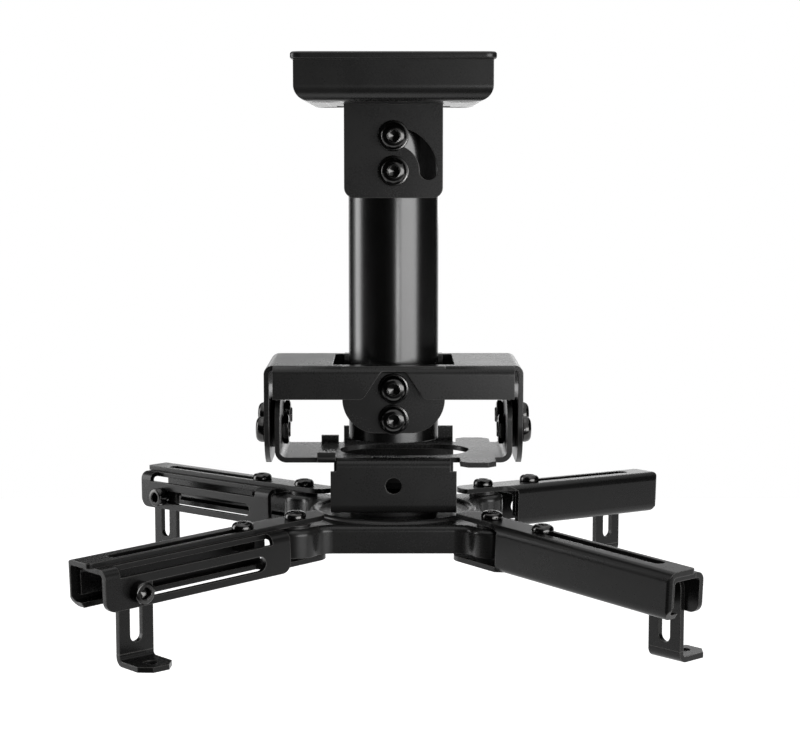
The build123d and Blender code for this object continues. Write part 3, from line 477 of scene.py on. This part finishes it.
def add_tilt_fasteners():
    outside, raised, inside = [], [], []
    for side in (-1, 1):
        for spin, (y, z) in zip(SPINS, TILT_SPOTS):
            outside.append(seat((side * YOKE_FACE, y, z), (side, 0, 0), UP))
            raised.append(seat((side * (YOKE_FACE + WASHER_T), y, z), (side, 0, 0), UP, spin))
            inside.append(seat((side * CRADLE_FACE, y, z), (-side, 0, 0), UP))
    short_bolt = {**M8, **BUTTON, "Length": TILT_BOLT, "Tail": SHORT_TAIL}
    fasteners("tilt_bolt_set", BOLT, short_bolt, raised, "cradle", "tilt_bolts")
    fasteners("tilt_washer_set", WASHER, WASHER_M8, outside, "cradle", "tilt_washers")
    fasteners("tilt_nut_set", NUT, NUT_M8_THIN, inside, "cradle", "tilt_nuts")


def arm_frame(corner):
    """An arm's own frame in millimetres: at its pivot, x outward and sloping down, z up."""
    side_x, side_y, yaw, droop, _ = ARMS[corner]
    outward = Vector((cos(radians(yaw)), sin(radians(yaw)), 0))
    x = outward * cos(radians(droop)) - Vector(UP) * sin(radians(droop))
    z = outward * sin(radians(droop)) + Vector(UP) * cos(radians(droop))
    return axes_at((side_x * LOBE_X, side_y * LOBE_Y, PAD_TOP), x, z)


def on_arm(arm, along, left, up):
    return (arm @ Vector((along, left, up, 1))).to_3d()


def add_arm_fasteners():
    screw = {**M6, **BUTTON, "Length": ARM_BOLT, "Tail": SHORT_TAIL}
    clamp = {**CAP, **CYLINDER, "Length": ARM_BOLT, "Tail": SHORT_TAIL}
    pivots, pivot_nuts = [], []
    for spin, corner in zip(SPINS, ARMS):
        arm = arm_frame(corner)
        x, y, z = (arm.col[i].to_3d() for i in range(3))
        pivots.append(seat(on_arm(arm, 0, 0, SHEET), z, x, spin))
        pivot_nuts.append(seat(on_arm(arm, 0, 0, -SHEET), -z, x))
        *_, pulled = ARMS[corner]
        lock, foot = LOCK_X + pulled, FOOT_X + pulled
        head = seat(on_arm(arm, lock, 0, SHEET), z, x, spin + LOCK_SPIN)
        nut = seat(on_arm(arm, lock, 0, -SHEET), -z, x)
        body = "extension_" + corner
        fasteners("lock_screw_" + corner, BOLT, screw, [head], body, "slide_screw_" + corner)
        fasteners("lock_nut_" + corner, NUT, NUT_M6, [nut], body, "slide_nut_" + corner)
        head = seat(on_arm(arm, foot, SLIDE_LEFT, WINDOW_Z), y, x, spin + CLAMP_SPIN)
        nut = seat(on_arm(arm, foot, SLIDE_LEFT - 2 * SHEET, WINDOW_Z), -y, x)
        body = "clamp_" + corner
        fasteners("clamp_screw_" + corner, BOLT, clamp, [head], body, "foot_screw_" + corner)
        fasteners("clamp_nut_" + corner, NUT, NUT_M6, [nut], body, "foot_nut_" + corner)
    fasteners("pivot_screw_set", BOLT, screw, pivots, "hub", "arm_pivot_screws")
    fasteners("pivot_nut_set", NUT, NUT_M6, pivot_nuts, "hub", "arm_pivot_nuts")


add_pole_fasteners()
add_tilt_fasteners()
add_arm_fasteners()


# Studio. Angles are in degrees about the object, from the camera towards the picture's right

scene = bpy.context.scene
scene.view_settings.view_transform = "Standard"

AMBIENT = 0.20  # the world's light where it isn't seen
FLOOR_Z = -0.42  # below the feet at every pose
FLOOR_R = 1.1  # half the floor's side
FLOOR_LEVEL, FLOOR_GLOW = 0.8, 0.85
MATT = 0.9  # roughness of floor and cards
CARD_R, CARD_TOP, CARD_STEP = 1.7, 1.1, 6  # cards standing in a ring, one facet to so many degrees
BACK_CARD_Z = 0.03  # the cards behind hang clear of the floor
# a standing card's two ends and its lower edge
DARK_ARCS = (
    (-86, 7, FLOOR_Z),
    (67, 150, FLOOR_Z),
    (-150, -122, FLOOR_Z),
    (180, 210, BACK_CARD_Z),
)
GREY_ARCS = ((150, 180, BACK_CARD_Z),)
DARK_LEVEL, GREY_LEVEL, GREY_GLOW = 0.03, 0.3, 0.35
FLOOR_CARD_NEAR, FLOOR_CARD_FAR, FLOOR_CARD_W = 0.3, 1.7, 2.4  # lies in front of the object
OBJECT_MID = Vector((0, 0, -0.14))
SOFTBOXES = {
    # name: angle, distance, height, width, upright size, radiance
    "key_right": (39, 1.5, -0.10, 1.15, 0.62, 6.5),
    "strip_left": (-103, 1.4, 0.05, 0.5, 1.0, 5.0),
    "overhead": (0, 0.02, 1.3, 1.2, 1.2, 0.8),
    "back": (172, 1.6, -0.06, 1.1, 0.16, 1.8),
    "sparkle": (11, 1.25, -0.20, 0.14, 0.14, 20.0),
}
CAMERA_SPOT = (0.00005, -0.9732, -0.0454)
CAMERA_PITCH, CAMERA_TURN = 83.546, -0.188  # degrees from straight down, and to the left
LENS, SENSOR_W = 87.44, 36  # millimetres


def seen_rays(start):
    """1 for rays from the camera, off a gloss or through glass, 0 for the rest."""
    rays = start.node("ShaderNodeLightPath")
    names = ("Is Camera Ray", "Is Glossy Ray", "Is Transmission Ray")
    camera, glossy, through = (rays.pick(name) for name in names)
    return (camera + glossy + through).clamped()


def add_world():
    world = bpy.data.worlds.new("studio")
    scene.world = world
    world.use_nodes = True
    background = world.node_tree.nodes["Background"]
    background.inputs["Color"].default_value = grey(1.0)
    level = AMBIENT + seen_rays(Wire(world.node_tree)) * (1 - AMBIENT)
    world.node_tree.links.new(level.socket, background.inputs["Strength"])


def staged(name, verts, faces, material):
    mesh = bpy.data.meshes.new(name)
    mesh.from_pydata(verts, [], faces)
    mesh.materials.append(material)
    thing = bpy.data.objects.new(name, mesh)
    scene.collection.objects.link(thing)
    return thing


def matt_paint(name, level):
    material = bpy.data.materials.new(name)
    material.use_nodes = True
    surface = material.node_tree.nodes["Principled BSDF"]
    surface.inputs["Base Color"].default_value = grey(level)
    surface.inputs["Roughness"].default_value = MATT
    return material, surface


def add_floor():
    """A matt floor that keeps its shadow and is lifted to white where it is seen."""
    material, surface = matt_paint("pale_floor", FLOOR_LEVEL)
    start = Wire(material.node_tree)
    white = start.node("ShaderNodeEmission", sockets={"Strength": seen_rays(start) * FLOOR_GLOW})
    matt = Wire(material.node_tree, surface.outputs[0])
    shown = start.node("ShaderNodeAddShader", sockets={0: matt, 1: white})
    output = material.node_tree.nodes["Material Output"]
    material.node_tree.links.new(shown.socket, output.inputs["Surface"])
    ends = ((-1, -1), (1, -1), (1, 1), (-1, 1))
    corners = [(x * FLOOR_R, y * FLOOR_R, FLOOR_Z) for x, y in ends]
    staged("floor", corners, [(0, 1, 2, 3)], material)


def card_paint(name, level, glow=0.0):
    material, surface = matt_paint(name, level)
    surface.inputs["Emission Color"].default_value = grey(1.0)
    surface.inputs["Emission Strength"].default_value = glow
    return material


def add_card(name, verts, faces, material):
    """A card that the coat reflects, but that neither shows nor shades the floor."""
    card = staged(name, verts, faces, material)
    card.visible_camera = False
    card.visible_shadow = False


def add_standing_cards(name, arcs, material):
    verts, faces = [], []
    for first, last, bottom in arcs:
        steps = max(2, round((last - first) / CARD_STEP))
        for i in range(steps + 1):
            angle = radians(first + (last - first) * i / steps)
            x, y = CARD_R * sin(angle), -CARD_R * cos(angle)
            verts += [(x, y, bottom), (x, y, CARD_TOP)]
            if i:
                base = len(verts) - 4
                faces.append((base, base + 2, base + 3, base + 1))
    add_card(name, verts, faces, material)


def add_floor_card(material):
    x, z = FLOOR_CARD_W / 2, FLOOR_Z + MM
    near, far = -FLOOR_CARD_NEAR, -FLOOR_CARD_FAR
    corners = [(-x, far, z), (x, far, z), (x, near, z), (-x, near, z)]
    add_card("floor_card", corners, [(0, 1, 2, 3)], material)


def add_softbox(name, angle, distance, height, width, tall, radiance):
    """A rectangle of light facing the object."""
    lamp = bpy.data.lights.new(name, "AREA")
    lamp.shape, lamp.size, lamp.size_y = "RECTANGLE", width, tall
    lamp.energy = radiance * pi * width * tall
    box = bpy.data.objects.new(name, lamp)
    scene.collection.objects.link(box)
    box.location = (distance * sin(radians(angle)), -distance * cos(radians(angle)), height)
    box.rotation_euler = (OBJECT_MID - box.location).to_track_quat("-Z", "Y").to_euler()
    box.visible_camera = False


def add_camera():
    camera = bpy.data.objects.new("camera", bpy.data.cameras.new("camera"))
    scene.collection.objects.link(camera)
    camera.location = CAMERA_SPOT
    camera.rotation_euler = (radians(CAMERA_PITCH), 0, radians(CAMERA_TURN))
    camera.data.lens, camera.data.sensor_width = LENS, SENSOR_W
    scene.camera = camera


add_world()
add_floor()
dark = card_paint("dark_card", DARK_LEVEL)
add_standing_cards("dark_cards", DARK_ARCS, dark)
add_standing_cards("grey_card", GREY_ARCS, card_paint("grey_card", GREY_LEVEL, GREY_GLOW))
add_floor_card(dark)
for lamp_name, setting in SOFTBOXES.items():
    add_softbox(lamp_name, *setting)
add_camera()
